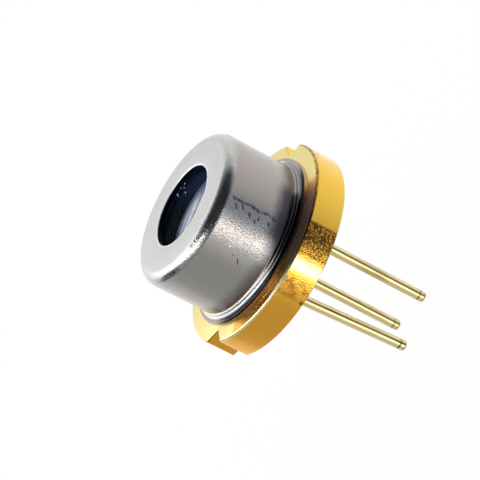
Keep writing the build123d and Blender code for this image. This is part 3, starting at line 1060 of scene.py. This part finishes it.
class DIODE_OT_leads(bpy.types.Operator):
    """Draw the three leads and plate them"""

    bl_idname = "diode.leads"
    bl_label = "Leads"

    def execute(self, context):
        leads = context.scene.diode_leads
        finish = lead_finish(leads)
        for node in ("laser_lead", "monitor_lead"):
            low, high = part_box(node)
            radius = (high.y - low.y) / 2
            leaning = node == "monitor_lead"
            bends = [(radius, STEM_REAR + side * leads.bend_half, 0.0) for side in (-1, 1)] if leaning else []
            bm = turned(wire_corners(leads, radius, CAD_LOW.z, high.z, *bends), LEAD_STEPS)
            if leaning:
                free = [vert for vert in bm.verts if vert.co.z < STEM_REAR]
                bmesh.ops.rotate(bm, verts=free, cent=(0, 0, STEM_REAR),
                                 matrix=Matrix.Rotation(-leads.lean, 3, "Y"))
            bmesh.ops.translate(bm, verts=bm.verts, vec=lead_centre(node))
            add_piece(node + "_wire", bm, finish, node)
        low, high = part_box("common_lead")
        radius = (high.x - low.x) / 2
        weld = [
            (radius, STEM_REAR - leads.weld_height, leads.weld_height / 2),
            (radius + leads.weld_width, STEM_REAR, 0.0),
        ]
        bm = turned(wire_corners(leads, radius, low.z, high.z, *weld), LEAD_STEPS)
        bmesh.ops.translate(bm, verts=bm.verts, vec=((low.x + high.x) / 2, (low.y + high.y) / 2, 0))
        add_piece("common_lead_wire", bm, finish, "common_lead")
        return {"FINISHED"}


class DIODE_OT_beads(bpy.types.Operator):
    """Melt the glass beads round the two insulated leads"""

    bl_idname = "diode.beads"
    bl_label = "Glass beads"

    def execute(self, context):
        inside = context.scene.diode_inside
        finish = bead_finish(inside)
        for lead in ("laser_lead", "monitor_lead"):
            low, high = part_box(lead)
            wire = (high.y - low.y) / 2
            bead_low, bead_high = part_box(lead + "_seal")
            middle = (wire + BEAD_RADIUS) / 2
            dish = (BEAD_RADIUS - wire) / BEAD_DISH
            corners = [
                (wire, bead_low.z, 0.0),
                (middle, bead_low.z + inside.meniscus, dish),
                (BEAD_RADIUS, bead_low.z, 0.0),
                (BEAD_RADIUS, bead_high.z, 0.0),
                (middle, bead_high.z - inside.meniscus, dish),
                (wire, bead_high.z, 0.0),
            ]
            bm = turned(corners, LEAD_STEPS, closed=True)
            bmesh.ops.translate(bm, verts=bm.verts, vec=lead_centre(lead))
            add_piece(lead + "_bead", bm, finish, lead + "_seal")
        return {"FINISHED"}


class DIODE_OT_inside(bpy.types.Operator):
    """Finish the window, its seal, the heat sink, the chips and the bond wires"""

    bl_idname = "diode.inside"
    bl_label = "Window and chips"

    def execute(self, context):
        inside = context.scene.diode_inside
        dress("window_glass", window_finish(inside))
        dress("window_seal", frit_finish(inside))
        dress("heat_sink", sink_finish(inside))
        dress("submount", ceramic_finish(inside))
        dress("laser_chip", chip_finish("chip_crystal", inside.crystal, roughness=(0.2, 0.3)))
        silicon = chip_finish("photodiode_silicon", inside.silicon, roughness=(0.1, 0.2))
        dress("monitor_photodiode", silicon)
        gold = wire_finish(inside)
        for node in ("laser_wire", "chip_wire", "monitor_wire"):
            dress(node, gold)
        return {"FINISHED"}


# Stage

# Flags in the room that metal reflects: azimuth, elevation, inner and outer angle in degrees, brightness.
FLAGS = (
    (28.1, 50.8, 39.0, 46.0, 0.03),
    (19.4, 8.0, 24.0, 31.0, 0.03),
    (45.0, 81.0, 12.0, 60.0, 0.04),
    (-18.0, 27.0, 19.0, 26.0, 0.08),
)
# Soft light behind the part: azimuth, elevation, inner and outer angle in degrees, then its brightness.
BACK_LIGHT = (-166.0, 37.0, 20.0, 27.0)
BACK_LIGHT_LEVEL = 0.7
# The strip light is straight, so it lies in a plane through the part. This is that plane's normal.
STRIP_NORMAL = Vector((-0.804, 0.285, -0.52)).normalized()
STRIP_HALF_ANGLE = 3.0
STRIP_SOFT_ANGLE = 5.0
# Where the strip light fades behind the part and before it, by the cosine from the camera's azimuth.
STRIP_BACK = (-0.8, -0.6)
STRIP_FRONT = (0.75, 0.5)
# Where the room's shaded side begins, by the sine from the strip's plane and by that cosine.
SIDE_ACROSS = (0.06, 0.2)
SIDE_AHEAD = (-0.9, -0.5)
SIDE_SHADE = 0.38
# Brightness below the horizon, by azimuth in degrees.
LOW_SHADES = (
    (-180.0, 1.40),
    (-154.0, 1.25),
    (-132.0, 1.00),
    (-122.0, 0.74),
    (-94.0, 0.66),
    (-60.0, 0.68),
    (-53.0, 0.74),
    (-45.0, 0.88),
    (-37.0, 1.10),
    (-29.0, 1.40),
    (-9.0, 1.50),
    (-1.0, 1.07),
    (4.0, 0.90),
    (11.0, 0.62),
    (18.0, 0.55),
    (33.5, 0.60),
    (35.0, 0.72),
    (44.0, 0.82),
    (66.0, 1.03),
    (104.0, 1.24),
    (146.0, 1.32),
    (180.0, 1.40),
)
# The lamp below the horizon: azimuth, and the half angles where it starts and ends to fade, in degrees.
LAMP = (-15.0, 5.0, 9.0)
# Half the height over which the horizon fades, as a sine.
HORIZON_HAZE = 0.02
FLOOR_GLOW = 0.92
FLOOR_SHADE = (0.1, 0.1, 0.1)
SPOT_SOFTNESS = 0.5


def seen_by_lens_or_gloss(tree):
    """One for camera, glossy and transmission rays."""
    path = tree.nodes.new("ShaderNodeLightPath").outputs
    return either(tree, path["Is Camera Ray"], path["Is Glossy Ray"], path["Is Transmission Ray"])


def floor_finish(stage):
    """Pale floor that shows as white and keeps a faint shadow."""
    finish = bpy.data.materials.new("studio_floor")
    finish.use_nodes = True
    tree = finish.node_tree
    tree.nodes.clear()
    output = tree.nodes.new("ShaderNodeOutputMaterial")
    pale = tree.nodes.new("ShaderNodeBsdfDiffuse")
    feed(tree, pale.inputs["Color"], stage.floor)
    shade = tree.nodes.new("ShaderNodeBsdfDiffuse")
    feed(tree, shade.inputs["Color"], FLOOR_SHADE)
    glow = tree.nodes.new("ShaderNodeEmission")
    glow.inputs["Strength"].default_value = FLOOR_GLOW
    white = tree.nodes.new("ShaderNodeAddShader")
    tree.links.new(shade.outputs["BSDF"], white.inputs[0])
    tree.links.new(glow.outputs["Emission"], white.inputs[1])
    mix = tree.nodes.new("ShaderNodeMixShader")
    tree.links.new(seen_by_lens_or_gloss(tree), mix.inputs["Fac"])
    tree.links.new(pale.outputs["BSDF"], mix.inputs[1])
    tree.links.new(white.outputs["Shader"], mix.inputs[2])
    tree.links.new(mix.outputs["Shader"], output.inputs["Surface"])
    return finish


def build_floor(stage):
    """Large floor at the lead tips."""
    bm = bmesh.new()
    bmesh.ops.create_grid(bm, x_segments=1, y_segments=1, size=stage.floor_half,
                          matrix=Matrix.Translation((0, 0, CAD_LOW.z)))
    floor = add_object("floor", new_mesh("floor", bm, floor_finish(stage)))
    floor.visible_glossy = False


def below_horizon(tree, way, stage):
    """Brightness below the horizon: shades by azimuth, and the lamp."""
    split = tree.nodes.new("ShaderNodeSeparateXYZ")
    tree.links.new(way, split.inputs["Vector"])
    turn = maths(tree, "ARCTAN2", split.outputs["X"], maths(tree, "MULTIPLY", split.outputs["Y"], -1.0))
    shades = tree.nodes.new("ShaderNodeValToRGB")
    tree.links.new(maths(tree, "MULTIPLY_ADD", turn, 1 / (2 * pi), 0.5), shades.inputs["Fac"])
    stops = shades.color_ramp.elements
    for azimuth, _ in LOW_SHADES[1:-1]:
        stops.new(azimuth / 360 + 0.5)
    for stop, (azimuth, value) in zip(stops, LOW_SHADES):
        stop.position = azimuth / 360 + 0.5
        stop.color = (value, value, value, 1.0)
    lamp = product(tree, sector(tree, way, LAMP), stage.lamp)
    return maths(tree, "ADD", shades.outputs["Color"], lamp)


def patch(tree, way, azimuth, elevation, inner, outer):
    """One on a round patch of the room."""
    return towards(tree, way, facing(radians(azimuth), radians(elevation)), inner, outer)


def above_horizon(tree, way, stage):
    """Brightness above the horizon: a white room with a shaded side, dark flags and two lights."""
    across = vector_maths(tree, "DOT_PRODUCT", way, STRIP_NORMAL)
    ahead = vector_maths(tree, "DOT_PRODUCT", way, facing(stage.azimuth))
    side = product(tree, span(tree, across, *SIDE_ACROSS), span(tree, ahead, *SIDE_AHEAD))
    bright = blend_value(tree, side, 1.0, SIDE_SHADE)
    for *where, value in FLAGS:
        bright = blend_value(tree, patch(tree, way, *where), bright, value)
    back = product(tree, patch(tree, way, *BACK_LIGHT), BACK_LIGHT_LEVEL)
    strip = span(tree, maths(tree, "ABSOLUTE", across), sin(radians(STRIP_SOFT_ANGLE)),
                 sin(radians(STRIP_HALF_ANGLE)))
    strip = product(tree, strip, span(tree, ahead, *STRIP_BACK), span(tree, ahead, *STRIP_FRONT), stage.strip)
    return maths(tree, "ADD", maths(tree, "ADD", bright, back), strip)


def build_room(stage):
    """White room, which shows its flags and lights in metal."""
    world = bpy.data.worlds.new("studio_room")
    bpy.context.scene.world = world
    world.use_nodes = True
    tree = world.node_tree
    tree.nodes.clear()
    output = tree.nodes.new("ShaderNodeOutputWorld")
    ground = tree.nodes.new("ShaderNodeBackground")
    way = tree.nodes.new("ShaderNodeTexCoord").outputs["Generated"]
    above = span(tree, vector_maths(tree, "DOT_PRODUCT", way, (0, 0, 1)), -HORIZON_HAZE, HORIZON_HAZE)
    bright = blend_value(tree, above, below_horizon(tree, way, stage), above_horizon(tree, way, stage))
    gloss = tree.nodes.new("ShaderNodeLightPath").outputs["Is Glossy Ray"]
    tree.links.new(blend_value(tree, gloss, 1.0, bright), ground.inputs["Strength"])
    tree.links.new(ground.outputs["Background"], output.inputs["Surface"])


def point_at(thing, target, back, distance, roll=0.0):
    """Places a camera or lamp away from a target and turns it to look there."""
    thing.location = target + back * distance
    thing.rotation_mode = "QUATERNION"
    thing.rotation_quaternion = (-back).to_track_quat("-Z", "Y") @ Quaternion((0, 0, 1), -roll)


def build_window_spot(stage):
    """Narrow soft lamp above the camera that shines in at the window and doesn't show in metal."""
    data = bpy.data.lights.new("window_spot", "SPOT")
    data.energy = stage.spot
    data.spot_size = stage.spot_cone
    data.spot_blend = SPOT_SOFTNESS
    data.shadow_soft_size = stage.spot_size
    lamp = add_object("window_spot", data)
    back = facing(stage.azimuth, stage.spot_elevation)
    point_at(lamp, Vector((0, 0, CAP_TOP)), back, stage.spot_distance)
    lamp.visible_glossy = False


def build_camera(stage):
    """Camera at the photograph's angle."""
    data = bpy.data.cameras.new("camera")
    data.lens = stage.lens
    data.clip_start = MM
    camera = add_object("camera", data)
    point_at(camera, Vector(stage.aim), facing(stage.azimuth, stage.elevation), stage.distance, stage.roll)
    bpy.context.scene.camera = camera


class DIODE_OT_stage(bpy.types.Operator):
    """Set up the floor, the room's light and the camera"""

    bl_idname = "diode.stage"
    bl_label = "Stage"

    def execute(self, context):
        stage = context.scene.diode_stage
        build_floor(stage)
        build_room(stage)
        build_window_spot(stage)
        build_camera(stage)
        context.scene.view_settings.view_transform = "Standard"
        return {"FINISHED"}


OPERATORS = (DIODE_OT_cap, DIODE_OT_stem, DIODE_OT_leads, DIODE_OT_beads, DIODE_OT_inside, DIODE_OT_stage)
SETTINGS = {
    "diode_cap": CapSettings,
    "diode_stem": StemSettings,
    "diode_leads": LeadSettings,
    "diode_inside": InsideSettings,
    "diode_stage": StageSettings,
}


class DIODE_PT_build(bpy.types.Panel):
    """Lists the pieces and their settings"""

    bl_idname = "DIODE_PT_build"
    bl_label = "Laser diode"
    bl_space_type = "VIEW_3D"
    bl_region_type = "UI"
    bl_category = "Laser diode"

    def draw(self, context):
        for operator in OPERATORS:
            self.layout.operator(operator.bl_idname)
        for name, group in SETTINGS.items():
            box = self.layout.box()
            box.label(text=group.__doc__)
            for field in group.__annotations__:
                box.prop(getattr(context.scene, name), field)


def register():
    """Registers the settings, the operators and the panel."""
    for group in SETTINGS.values():
        bpy.utils.register_class(group)
    for item in (*OPERATORS, DIODE_PT_build):
        bpy.utils.register_class(item)
    for name, group in SETTINGS.items():
        setattr(bpy.types.Scene, name, PointerProperty(type=group))


def unregister():
    """Removes what register added."""
    for name in SETTINGS:
        delattr(bpy.types.Scene, name)
    for item in (DIODE_PT_build, *reversed(OPERATORS), *reversed(SETTINGS.values())):
        bpy.utils.unregister_class(item)


def main():
    """Builds every piece and the stage."""
    register()
    bpy.ops.diode.cap()
    bpy.ops.diode.stem()
    bpy.ops.diode.leads()
    bpy.ops.diode.beads()
    bpy.ops.diode.inside()
    bpy.ops.diode.stage()


if __name__ == "__main__":
    main()
